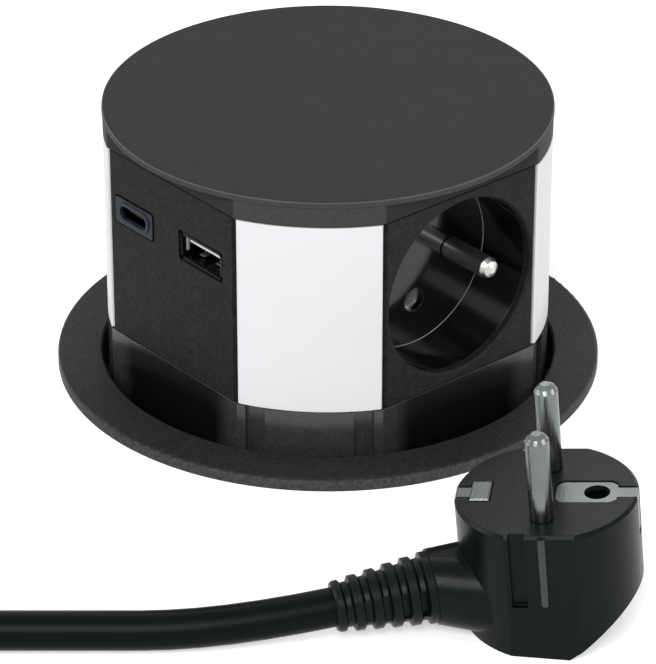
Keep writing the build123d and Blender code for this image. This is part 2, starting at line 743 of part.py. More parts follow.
def at_plug(shape):
    """The face leans towards the cord and the head is turned a little from the cord's line."""
    leaned = Rot(0, -PLUG_TILT, 0) * (Rot(0, 0, PLUG_TURN) * shape)
    return turned(Pos(PLUG_X, PLUG_Y, 0) * leaned, LAY_ANGLE)


def plug_section():
    """Round face with a flat at the front and one at the rear."""
    return Circle(PLUG_W / 2) & Rectangle(PLUG_W, PLUG_FLATS)


def grip_rib(x, y):
    """Rounded upright rib on a flat, ended above the neck's level."""
    rib = slab(12.5, PLUG_H - 0.3, Pos(x, y) * SlotOverall(2.0, 1.6, rotation=90))
    return rib


def plug_head():
    """Head with a bevelled back, grip grooves and ribs, pin holes and the seats of both earth contacts."""
    head = slab(-3, PLUG_H, plug_section())
    head = chamfer(head.edges().group_by(Axis.Z)[-1], 0.6)
    bevel = make_face(Polyline((0.42, 0, -3), (22, 0, -3), (22, 0, 12.13), close=True))
    head -= extrude(bevel, 25, both=True)
    for side in (-1, 1):
        flat = side * PLUG_FLATS / 2
        head += grip_rib(0.4, flat - side * 0.5)
        head -= slab(12, PLUG_H + 1, Pos(-4.55, flat) * Rectangle(3.1, 2.6))
        head -= cylinder(0, side * PIN_SPACING / 2, PLUG_H - 6, PLUG_H + 1, SHANK_R)
    head -= box(-19, -14.6, -2.0, 2.0, PLUG_H - 1.1, PLUG_H + 1)
    head -= box(-19, -17.1, -2.0, 2.0, PLUG_H - 9.0, PLUG_H + 1)
    head -= box(-15.2, -10.8, -3.75, 3.75, PLUG_H - 1.1, PLUG_H + 1)
    head -= slab(PLUG_H - 1.1, PLUG_H + 1, Pos(7.95, 0) * RectangleRounded(12.7, 8.0, 2.2))
    head -= box(13.5, 19, -2.0, 2.0, PLUG_H - 1.1, PLUG_H + 1)
    head -= box(17.1, 19, -2.0, 2.0, PLUG_H - 9.0, PLUG_H + 1)
    return head - cylinder(10.0, 0, PLUG_H - 13, PLUG_H, 2.6)


def plug_body():
    """Right-angle body: the leaning head and the neck towards the relief, flat underneath."""
    head = at_plug(plug_head())
    near_end = Plane(origin=NECK_START, x_dir=(0, 1, 0), z_dir=(-1, 0, 0))
    far_end = Plane(origin=RELIEF_START, x_dir=(0, 1, 0), z_dir=relief_direction())
    neck = loft([near_end * RectangleRounded(23, 16.2, 6.5), far_end * RectangleRounded(15.0, 15.0, 7.0)])
    body = head + turned(neck, LAY_ANGLE)
    x = PLUG_X * math.cos(math.radians(LAY_ANGLE)) - PLUG_Y * math.sin(math.radians(LAY_ANGLE))
    y = PLUG_X * math.sin(math.radians(LAY_ANGLE)) + PLUG_Y * math.cos(math.radians(LAY_ANGLE))
    return body - box(x - 40, x + 40, y - 40, y + 40, -10, 0)


def plug_pin(side):
    """Round pin with a domed tip and a thinner shank in the head."""
    top = PLUG_H + PLUG_PIN_L
    profile = [
        (0, PLUG_H - 6),
        (SHANK_R, PLUG_H - 6),
        (SHANK_R, PLUG_H + 0.3),
        (PLUG_PIN_R, PLUG_H + 0.3),
        (PLUG_PIN_R, top - 1.5),
        (PLUG_PIN_R - 0.5, top - 0.6),
        (PLUG_PIN_R - 1.4, top),
        (0, top),
    ]
    face = make_face(Polyline(*[(r, 0, z) for r, z in profile], close=True))
    return at_plug(Pos(0, side * PIN_SPACING / 2, 0) * revolve(face, Axis.Z))


def plug_pins():
    return [plug_pin(side) for side in (-1, 1)]


def plug_earth_clip():
    """Earth clip on the cord's side: narrow strip over the edge and a wider raised pad."""
    clip = box(-18.0, -17.3, -1.7, 1.7, PLUG_H - 8.8, PLUG_H - 0.2)
    clip += box(-18.0, -14.6, -1.7, 1.7, PLUG_H - 1.1, PLUG_H - 0.2)
    pad = box(-15.0, -11.1, -3.45, 3.45, PLUG_H - 1.1, PLUG_H + 0.3)
    pad = chamfer(pad.edges().group_by(Axis.Z)[-1], 0.3)
    return at_plug(clip + pad)


def plug_earth_socket():
    """Earth strip on the far side: wide part with the pin's opening, then a narrow tail over the edge."""
    strip = slab(PLUG_H - 1.1, PLUG_H - 0.2, Pos(7.95, 0) * RectangleRounded(12.1, 7.4, 1.9))
    shoulder = make_face(Polyline((12.5, -3.7), (12.5, 3.7), (15.4, 1.7), (15.4, -1.7), close=True))
    strip += slab(PLUG_H - 1.1, PLUG_H - 0.2, shoulder & Rectangle(28.0, 8))
    strip += box(13.5, 18.05, -1.7, 1.7, PLUG_H - 1.1, PLUG_H - 0.2)
    strip += box(17.3, 18.05, -1.7, 1.7, PLUG_H - 8.8, PLUG_H - 0.2)
    return at_plug(strip - cylinder(10.0, 0, PLUG_H - 2, PLUG_H + 1, 2.6))


def plug_relief():
    """Ringed strain relief, thinner towards the cord, with a deep slot between its rings front and back."""
    profile = [(0, 0), (7.3, 0)]
    for k in range(5):
        x = 1.5 + RELIEF_PITCH * k
        outer = 7.3 - 0.42 * k
        profile += [(outer, x), (outer - 1.0, x + 0.5), (outer - 1.1, x + 1.5), (outer - 0.4, x + 2.1)]
    profile += [(5.2, RELIEF_LENGTH - 0.6), (4.8, RELIEF_LENGTH), (0, RELIEF_LENGTH)]
    face = make_face(Polyline(*[(r, 0, x) for r, x in profile], close=True))
    relief = revolve(face, Axis.Z)
    for k in range(5):
        x = 1.8 + RELIEF_PITCH * k
        for side in (-1, 1):
            relief -= box(-2.9, 2.9, side * 4.5, side * 9, x, x + 1.5)
    place = Plane(origin=RELIEF_START, x_dir=(0, 0, 1), z_dir=relief_direction())
    return turned(place.location * relief, LAY_ANGLE)


def write(name, shape):
    """Save one node; a list holds equal loose pieces that share it."""
    if isinstance(shape, list):
        shape = Compound(children=shape)
    export_step(shape, f"parts/{name}.step")


def main():
    os.makedirs("parts", exist_ok=True)
    write("lid", lid())
    write("lid_screws", lid_screws())
    write("carriage_base", carriage_base())
    for name, angle in (("front", -45), ("right", 45), ("rear", 135), ("left", 225)):
        write(f"corner_panel_{name}", corner_panel(angle))
    for name, angle in (("right", 0), ("rear", 90), ("left", 180)):
        write(f"facet_plate_{name}", facet_plate(angle))
        write(f"socket_well_{name}", socket_well(angle))
        write(f"earth_pin_{name}", earth_pin(angle))
    write("live_bus", bus(SOCKET_Z + PIN_SPACING / 2))
    write("neutral_bus", bus(SOCKET_Z - PIN_SPACING / 2))
    write("earth_bus", earth_bus())
    write("usb_plate", usb_plate())
    write("usb_c_bezel", usb_c_bezel())
    write("usb_c_shell", usb_c_shell())
    write("usb_c_tongue", usb_c_tongue())
    write("usb_a_shell", usb_a_shell())
    write("usb_a_tongue", usb_a_tongue())
    write("usb_board", usb_board())
    write("usb_transformer", usb_transformer())
    write("latch_striker", latch_striker())
    write("mounting_sleeve", mounting_sleeve())
    write("fixing_ring", fixing_ring())
    write("bottom_cover", bottom_cover())
    write("cover_screws", cover_screws())
    write("cord_gland", cord_gland())
    write("cord_inside", cord_inside())
    write("cord_clamp", cord_clamp())
    write("clamp_screws", clamp_screws())
    write("latch_housing", latch_housing())
    write("latch_plunger", latch_plunger())
    write("lift_spring_a", lift_spring(-45))
    write("lift_spring_b", lift_spring(135))
    write("inner_lead", inner_lead())
    write("cord_to_plug", cord_to_plug())
    write("cord_coil", cord_coil())
    write("coil_tie", coil_tie())
    write("cord_under_desk", cord_under_desk())
    write("plug_body", plug_body())
    write("plug_pins", plug_pins())
    write("plug_earth_clip", plug_earth_clip())
    write("plug_earth_socket", plug_earth_socket())
    write("plug_relief", plug_relief())


main()
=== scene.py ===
"""Pop up desk socket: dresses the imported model, lays its cord and lights it in a plain studio."""

import json
import logging
import math
from dataclasses import dataclass, replace
from enum import Enum

import bmesh
import bpy
from mathutils import Matrix, Vector

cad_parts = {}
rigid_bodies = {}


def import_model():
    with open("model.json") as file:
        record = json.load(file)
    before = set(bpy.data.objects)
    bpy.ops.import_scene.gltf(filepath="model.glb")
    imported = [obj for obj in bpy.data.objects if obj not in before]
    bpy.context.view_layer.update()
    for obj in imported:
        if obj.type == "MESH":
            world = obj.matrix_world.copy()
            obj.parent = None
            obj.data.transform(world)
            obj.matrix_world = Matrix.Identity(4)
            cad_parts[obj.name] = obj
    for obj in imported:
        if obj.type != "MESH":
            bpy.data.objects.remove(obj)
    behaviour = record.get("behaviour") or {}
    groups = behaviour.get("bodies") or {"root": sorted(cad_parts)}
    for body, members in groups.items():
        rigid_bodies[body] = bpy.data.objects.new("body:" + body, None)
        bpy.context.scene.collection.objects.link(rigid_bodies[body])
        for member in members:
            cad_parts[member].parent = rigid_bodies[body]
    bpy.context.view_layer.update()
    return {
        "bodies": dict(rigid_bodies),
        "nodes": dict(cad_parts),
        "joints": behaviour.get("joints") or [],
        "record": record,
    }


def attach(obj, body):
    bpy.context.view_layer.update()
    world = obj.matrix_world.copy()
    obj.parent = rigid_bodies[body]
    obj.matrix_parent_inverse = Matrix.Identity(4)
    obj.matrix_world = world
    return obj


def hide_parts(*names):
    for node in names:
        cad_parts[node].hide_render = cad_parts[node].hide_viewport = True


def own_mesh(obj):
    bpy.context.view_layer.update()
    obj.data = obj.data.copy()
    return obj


LOG = logging.getLogger("desk_socket")
MM = 0.001

# The camera's azimuth. The row of cord and plug is turned by it about Z, square to the view.
LAY_AZIMUTH = 49.77
LAY_TURN = Matrix.Rotation(math.radians(LAY_AZIMUTH), 4, "Z")

# Shading is smooth below the first angle, and edges above the second are eased.
SMOOTH_ANGLE = math.radians(38)
SHARP_ANGLE = math.radians(60)
CORNER_STEPS = 4
EDGE_STEPS = 2

# How much a port's fine shapes lose along their edges: the last in millimetres.
BAR_CHAMFER_SHARE = 0.6
WALL_CHAMFER_SHARE = 0.3
WIDEST_CHAMFER = 0.12

# Noise scales are per metre; the shares are parts of a finish's own grain.
CLOUD_SCALE = 38.0
CLOUD_DETAIL = 3.0
CLOUD_ENDS = (0.3, 0.7)
WEAR_SCALE = 210.0
WEAR_SPREAD = 0.05
LEAST_ROUGHNESS = 0.02
FINE_DETAIL = 2.0
RELIEF_DEPTH = 0.00012
EDGE_SAMPLES = 4
SPECKLE_ENDS = (0.25, 0.75)
SPECKLE_SHARE = 0.55
SPECKLE_DETAIL = 1.0
DRAWN_STRETCH = (1.0, 1.0, 0.06)
MOULDED_SHARE = 0.25
SMOOTH_SHARE = 0.6

# Socket numbers of a Mix node that mixes colours.
MIX_FACTOR, MIX_FIRST, MIX_SECOND, MIX_RESULT = 0, 6, 7, 2

Colour = tuple[float, float, float]


class Grain(Enum):
    """Kinds of fine surface relief."""

    SMOOTH = "smooth"
    SPARK = "spark eroded"
    DRAWN = "drawn metal"
    MOULDED = "moulded gloss"


@dataclass(frozen=True)
class Finish:
    """One surface finish, built as a node material on object coordinates.

    Relief is the strength of the grain, spread is how far the colour drifts, speckle how far its
    fine points do, and edge is the radius that the shading eases edges by. The rim colour is
    painted light: a paler colour for the surface beyond a radius from the upright axis, standing in
    for a lit side and its edge highlight.
    """

    name: str
    colour: Colour
    roughness: float
    metallic: float = 0.0
    grain: Grain = Grain.SPARK
    relief: float = 0.12
    spread: float = 0.06
    specular: float = 0.5
    grain_size: float = 0.00045
    speckle: float = 0.0
    edge: float = 0.0
    # Painted light: a paler colour beyond the rim radius, for a lit side and its edge highlight.
    rim_painted_light: Colour | None = None
    rim_radius: float = 0.0
    rim_ease: float = 0.0003

    def material(self) -> bpy.types.Material:
        """Build the finish, or return it when it exists already.

        Returns:
            The node material of this finish.
        """
        known = bpy.data.materials.get(self.name)
        if known:
            return known
        made = bpy.data.materials.new(self.name)
        made.use_nodes = True
        nodes = made.node_tree.nodes
        links = made.node_tree.links
        shader = nodes["Principled BSDF"]
        shader.inputs["Metallic"].default_value = self.metallic
        shader.inputs["Specular IOR Level"].default_value = self.specular
        place = nodes.new("ShaderNodeTexCoord").outputs["Object"]
        cloud = self._noise(made, place, CLOUD_SCALE, CLOUD_DETAIL)
        ramp = nodes.new("ShaderNodeValToRGB")
        shares = (1 - self.spread, 1 + self.spread)
        for element, end, share in zip(ramp.color_ramp.elements, CLOUD_ENDS, shares):
            element.position = end
            element.color = (*[min(1.0, c * share) for c in self.colour], 1.0)
        links.new(cloud, ramp.inputs["Fac"])
        rim_lit_tone = self._paint_rim_light(made, place, ramp.outputs["Color"])
        links.new(self._speckled(made, place, rim_lit_tone), shader.inputs["Base Color"])
        level = nodes.new("ShaderNodeMapRange")
        level.inputs["To Min"].default_value = max(LEAST_ROUGHNESS, self.roughness - WEAR_SPREAD)
        level.inputs["To Max"].default_value = min(1.0, self.roughness + WEAR_SPREAD)
        links.new(self._noise(made, place, WEAR_SCALE, FINE_DETAIL), level.inputs["Value"])
        links.new(level.outputs["Result"], shader.inputs["Roughness"])
        bump = nodes.new("ShaderNodeBump")
        bump.inputs["Strength"].default_value = self.relief
        bump.inputs["Distance"].default_value = RELIEF_DEPTH
        links.new(self._relief(made, place), bump.inputs["Height"])
        if self.edge:
            eased = nodes.new("ShaderNodeBevel")
            eased.samples = EDGE_SAMPLES
            eased.inputs["Radius"].default_value = self.edge
            links.new(eased.outputs["Normal"], bump.inputs["Normal"])
        links.new(bump.outputs["Normal"], shader.inputs["Normal"])
        return made

    def _paint_rim_light(
        self, made: bpy.types.Material, place: bpy.types.NodeSocket, colour: bpy.types.NodeSocket
    ) -> bpy.types.NodeSocket:
        """Paint light on the surface further from the upright axis than a radius, in a paler
        colour.

        Args:
            made: The material that gets the rim.
            place: The coordinates that it reads.
            colour: The colour inside the radius.

        Returns:
            The colour with its rim of painted light.
        """
        if self.rim_painted_light is None:
            return colour
        nodes = made.node_tree.nodes
        links = made.node_tree.links
        level = nodes.new("ShaderNodeVectorMath")
        level.operation = "MULTIPLY"
        level.inputs[1].default_value = (1.0, 1.0, 0.0)
        links.new(place, level.inputs[0])
        reach = nodes.new("ShaderNodeVectorMath")
        reach.operation = "LENGTH"
        links.new(level.outputs["Vector"], reach.inputs[0])
        share = nodes.new("ShaderNodeMapRange")
        share.inputs["From Min"].default_value = self.rim_radius - self.rim_ease
        share.inputs["From Max"].default_value = self.rim_radius
        links.new(reach.outputs["Value"], share.inputs["Value"])
        mix = nodes.new("ShaderNodeMix")
        mix.data_type = "RGBA"
        mix.inputs[MIX_SECOND].default_value = (*self.rim_painted_light, 1.0)
        links.new(share.outputs["Result"], mix.inputs[MIX_FACTOR])
        links.new(colour, mix.inputs[MIX_FIRST])
        return mix.outputs[MIX_RESULT]

    def _speckled(
        self, made: bpy.types.Material, place: bpy.types.NodeSocket, colour: bpy.types.NodeSocket
    ) -> bpy.types.NodeSocket:
        """Add the fine light and dark points of a sparked surface to a colour.

        Args:
            made: The material that gets the points.
            place: The coordinates that they read.
            colour: The colour without them.

        Returns:
            The colour with them.
        """
        if not self.speckle:
            return colour
        nodes = made.node_tree.nodes
        links = made.node_tree.links
        level = nodes.new("ShaderNodeMapRange")
        level.inputs["From Min"].default_value = SPECKLE_ENDS[0]
        level.inputs["From Max"].default_value = SPECKLE_ENDS[1]
        level.inputs["To Min"].default_value = 1 - self.speckle
        level.inputs["To Max"].default_value = 1 + self.speckle
        points = self._noise(made, place, SPECKLE_SHARE / self.grain_size, SPECKLE_DETAIL)
        links.new(points, level.inputs["Value"])
        scaled = nodes.new("ShaderNodeVectorMath")
        scaled.operation = "SCALE"
        links.new(colour, scaled.inputs[0])
        links.new(level.outputs["Result"], scaled.inputs["Scale"])
        return scaled.outputs["Vector"]

    def _noise(
        self, made: bpy.types.Material, place: bpy.types.NodeSocket, scale: float, detail: float
    ) -> bpy.types.NodeSocket:
        """Add a noise texture.

        Args:
            made: The material that gets the texture.
            place: The coordinates that it reads.
            scale: Noise scale, per metre.
            detail: Noise detail.

        Returns:
            The texture's value.
        """
        noise = made.node_tree.nodes.new("ShaderNodeTexNoise")
        noise.inputs["Scale"].default_value = scale
        noise.inputs["Detail"].default_value = detail
        made.node_tree.links.new(place, noise.inputs["Vector"])
        return noise.outputs["Fac"]

    def _relief(
        self, made: bpy.types.Material, place: bpy.types.NodeSocket
    ) -> bpy.types.NodeSocket:
        """Add the height pattern of the grain.

        Args:
            made: The material that gets the pattern.
            place: The coordinates that it reads.

        Returns:
            The height value.
        """
        scale = 1.0 / self.grain_size
        if self.grain is Grain.DRAWN:
            stretch = made.node_tree.nodes.new("ShaderNodeMapping")
            stretch.inputs["Scale"].default_value = DRAWN_STRETCH
            made.node_tree.links.new(place, stretch.inputs["Vector"])
            return self._noise(made, stretch.outputs["Vector"], scale, FINE_DETAIL)
        if self.grain is Grain.SPARK:
            cells = made.node_tree.nodes.new("ShaderNodeTexVoronoi")
            cells.inputs["Scale"].default_value = scale
            made.node_tree.links.new(place, cells.inputs["Vector"])
            return cells.outputs["Distance"]
        share = MOULDED_SHARE if self.grain is Grain.MOULDED else SMOOTH_SHARE
        return self._noise(made, place, scale * share, FINE_DETAIL)


# Painted light: the paler rim colour makes the lid's side and upper edge brighter than its top.
LID_SATIN = Finish(
    "lid satin plastic", (0.024, 0.024, 0.0243), 0.68, relief=0.1, spread=0.03, specular=0.12,
    edge=0.00025, speckle=0.12, rim_painted_light=(0.052, 0.052, 0.0525), rim_radius=48.85 * MM,
)
PLATE_SATIN = Finish(
    "facet plate plastic", (0.012, 0.012, 0.0122), 0.55, relief=0.35, spread=0.05, specular=0.12,
    speckle=0.5, edge=0.0002,
)
# Painted highlight: the paler rim colour brightens the band's rounded corners, where they face the
# light.
BAND_GLOSS = Finish(
    "band gloss plastic", (0.004, 0.004, 0.0041), 0.2, grain=Grain.MOULDED, relief=0.05,
    specular=0.55, speckle=0.2, edge=0.00018, rim_painted_light=(0.03, 0.03, 0.0303),
    rim_radius=47.6 * MM, rim_ease=1.6 * MM,
)
PANEL_WHITE = Finish(
    "white panel plastic", (0.795, 0.803, 0.82), 0.4, grain=Grain.MOULDED, relief=0.02,
    spread=0.003, specular=0.3, edge=0.00015,
)
WELL_GLOSS = Finish(
    "well gloss plastic", (0.003, 0.003, 0.0031), 0.1, grain=Grain.MOULDED, relief=0.04,
    edge=0.0002,
)
# A pale ring along the lid's upper edge, its colour a painted highlight.
LID_EDGE_HIGHLIGHT = Finish("lid edge painted highlight", (0.085, 0.085, 0.086), 0.5, relief=0.08, specular=0.2)
# A pale ring in each well's floor corner, its colour a painted highlight.
WELL_CORNER_HIGHLIGHT = Finish("well corner painted highlight", (0.3, 0.3, 0.3), 0.3, grain=Grain.MOULDED, relief=0.02)
BEZEL_SLATE = Finish(
    "slate port bezel", (0.009, 0.0145, 0.023), 0.45, relief=0.1, specular=0.3, edge=0.00015
)
# Painted light: the paler rim colour brightens the flange's outer side and upper edge.
FLANGE_SATIN = Finish(
    "flange satin plastic", (0.017, 0.017, 0.0172), 0.6, relief=0.35, spread=0.04, specular=0.14,
    speckle=0.4, edge=0.0003, rim_painted_light=(0.046, 0.046, 0.0465), rim_radius=60.1 * MM,
)
PIN_NICKEL = Finish("nickel pin", (0.165, 0.172, 0.172), 0.22, 1.0, Grain.DRAWN, 0.7, 0.3)
EARTH_NICKEL = Finish("earth pin nickel", (0.6, 0.59, 0.57), 0.31, 1.0, Grain.DRAWN, 0.12, 0.05)
PORT_STEEL = Finish("bright port steel", (0.68, 0.68, 0.68), 0.22, 1.0, Grain.DRAWN, 0.06, 0.04)
# Painted shade: the ports' steel shells, made near black where they lie deep inside.
PORT_STEEL_PAINTED_SHADE = Finish("port steel in painted shade", (0.05, 0.05, 0.053), 0.2, 1.0, Grain.DRAWN, 0.06, 0.04)
# Painted light: bright nickel strips on the wide port's side walls, where light reaches.
PORT_NICKEL_PAINTED_LIGHT = Finish("nickel port strip in painted light", (0.74, 0.74, 0.73), 0.35, 0.6, Grain.DRAWN, 0.06, 0.04)
SPRING_WIRE = Finish("spring wire", (0.4, 0.4, 0.41), 0.3, 1.0, Grain.SMOOTH, 0.1)
SCREW_ZINC = Finish("zinc screw", (0.45, 0.45, 0.43), 0.35, 1.0, Grain.SMOOTH, 0.15)
CONTACT_NICKEL = Finish("contact nickel", (0.85, 0.84, 0.82), 0.25, 0.75, Grain.SMOOTH, 0.1)
CONTACT_GOLD = Finish("gold contact", (0.75, 0.55, 0.22), 0.25, 1.0, Grain.SMOOTH, 0.1)
BOARD_GREEN = Finish("solder mask", (0.02, 0.12, 0.05), 0.35, grain=Grain.SMOOTH)
CORE_DULL = Finish("ferrite", (0.04, 0.04, 0.043), 0.7)
PORT_BLACK = Finish("port tongue plastic", (0.01, 0.01, 0.0105), 0.4)
# A near-black ring in the small port's gap, standing in for its shade: painted shade.
GAP_PAINTED_SHADE = Finish("port gap painted shade", (0.0008, 0.0008, 0.001), 0.6, specular=0.04)
PORT_GLOSS = Finish(
    "port surround gloss", (0.002, 0.002, 0.002), 0.22, grain=Grain.MOULDED, relief=0.02,
    specular=0.12,
)
TONGUE_PALE = Finish(
    "pale tongue plastic", (0.75, 0.75, 0.74), 0.4, grain=Grain.MOULDED, relief=0.03
)
LATCH_GREY = Finish("latch acetal", (0.5, 0.5, 0.48), 0.4, grain=Grain.MOULDED)
CORD_BLACK = Finish(
    "cord sheath", (0.0012, 0.0032, 0.0022), 0.36, grain=Grain.MOULDED, relief=0.1, specular=0.07,
    grain_size=0.0008,
)
PLUG_BLACK = Finish(
    "plug moulding", (0.0014, 0.004, 0.0031), 0.3, relief=0.14, specular=0.11, grain_size=0.0006,
    edge=0.0003,
)
# Painted highlight: the grip beads are paler than the rest of the plug.
PLUG_BEAD_HIGHLIGHT = Finish(
    "plug grip bead painted highlight", (0.012, 0.0155, 0.0145), 0.3, relief=0.1, specular=0.5, grain_size=0.0006
)
RELIEF_BLACK = Finish(
    "relief moulding", (0.0018, 0.0045, 0.0036), 0.32, relief=0.12, specular=0.12, edge=0.00025
)
CLIP_METAL = Finish("clip metal", (0.14, 0.147, 0.147), 0.34, 1.0, Grain.DRAWN, 0.4, 0.3)
DESK_BAND = Finish(
    "desk edge band", (0.7, 0.7, 0.69), 0.6, grain=Grain.MOULDED, relief=0.05, spread=0.02
)
TIE_BLACK = Finish("tie plastic", (0.008, 0.008, 0.008), 0.45)

SLOT_FINISHES: dict[str, Finish] = {
    "lid_plastic": LID_SATIN,
    "plate_plastic": PLATE_SATIN,
    "band_plastic": BAND_GLOSS,
    "white_panel": PANEL_WHITE,
    "well_plastic": WELL_GLOSS,
    "slate_bezel": BEZEL_SLATE,
    "flange_plastic": FLANGE_SATIN,
    "sleeve_plastic": FLANGE_SATIN,
    "cover_plastic": FLANGE_SATIN,
    "ring_plastic": FLANGE_SATIN,
    "latch_plastic": LATCH_GREY,
    "nickel_pin": PIN_NICKEL,
    "bright_steel": PORT_STEEL,
    "spring_steel": SPRING_WIRE,
    "screw_steel": SCREW_ZINC,
    "contact_nickel": CONTACT_NICKEL,
    "board_green": BOARD_GREEN,
    "ferrite": CORE_DULL,
    "port_plastic": PORT_BLACK,
    "cord_pvc": CORD_BLACK,
    "plug_plastic": PLUG_BLACK,
    "relief_rubber": RELIEF_BLACK,
    "tie_plastic": TIE_BLACK,
    "clip_metal": CLIP_METAL,
}

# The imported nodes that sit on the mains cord.
ON_CORD = (
    "plug_body",
    "plug_pins",
    "plug_earth_clip",
    "plug_earth_socket",
    "plug_relief",
    "coil_tie",
    "cord_gland",
)


def linked(name: str, data: bpy.types.ID) -> bpy.types.Object:
    """Make an object and put it in the scene.

    Args:
        name: The object's name.
        data: Its mesh, curve, lamp or camera data.

    Returns:
        The new object.
    """
    made = bpy.data.objects.new(name, data)
    bpy.context.scene.collection.objects.link(made)
    return made


def mesh_piece(name: str, form: bmesh.types.BMesh, finish: Finish) -> bpy.types.Object:
    """Turn a bmesh into a smooth-shaded object with one finish.

    Args:
        name: The object's name.
        form: The shape; it is freed here.
        finish: Its finish.

    Returns:
        The new object.
    """
    mesh = bpy.data.meshes.new(name)
    form.to_mesh(mesh)
    form.free()
    mesh.shade_smooth()
    mesh.set_sharp_from_angle(angle=SMOOTH_ANGLE)
    mesh.materials.append(finish.material())
    LOG.info("made %s", name)
    return linked(name, mesh)


def rounded_sheet(width: float, height: float, corner: float) -> bmesh.types.BMesh:
    """Make a flat rectangle with rounded corners, lying in the plane of X and Y.

    Args:
        width: Its size along X.
        height: Its size along Y.
        corner: The corners' radius.

    Returns:
        The new shape.
    """
    form = bmesh.new()
    bmesh.ops.create_grid(form, x_segments=1, y_segments=1, size=0.5)
    reach = max(v.co.x for v in form.verts)
    bmesh.ops.scale(form, vec=(width / reach / 2, height / reach / 2, 1.0), verts=form.verts[:])
    bmesh.ops.bevel(
        form, geom=form.verts[:], offset=corner, segments=CORNER_STEPS, profile=0.5,
        affect="VERTICES", material=-1,
    )
    return form


def thickened(
    form: bmesh.types.BMesh, front: float, back: float, chamfer: float
) -> bmesh.types.BMesh:
    """Pull a flat shape into a bar or a frame and ease its sharp edges.

    Args:
        form: The flat shape, in the plane of X and Y.
        front: The height of its front face.
        back: The height of its back face.
        chamfer: How much is taken off its edges.

    Returns:
        The same shape, closed, with its faces outwards.
    """
    bmesh.ops.translate(form, vec=(0, 0, front), verts=form.verts[:])
    pulled = bmesh.ops.extrude_face_region(form, geom=form.faces[:])
    verts = [v for v in pulled["geom"] if isinstance(v, bmesh.types.BMVert)]
    bmesh.ops.translate(form, vec=(0, 0, back - front), verts=verts)
    bmesh.ops.recalc_face_normals(form, faces=form.faces[:])
    sharp = [e for e in form.edges if e.calc_face_angle(0.0) > SHARP_ANGLE]
    bmesh.ops.bevel(
        form, geom=sharp, offset=chamfer, segments=EDGE_STEPS, profile=0.5, affect="EDGES",
        material=-1,
    )
    bmesh.ops.recalc_face_normals(form, faces=form.faces[:])
    return form


@dataclass(frozen=True)
class Lamp:
    """A round soft lamp that faces the part: degrees, metres and watts."""

    name: str
    azimuth: float
    elevation: float
    away: float
    size: float
    power: float


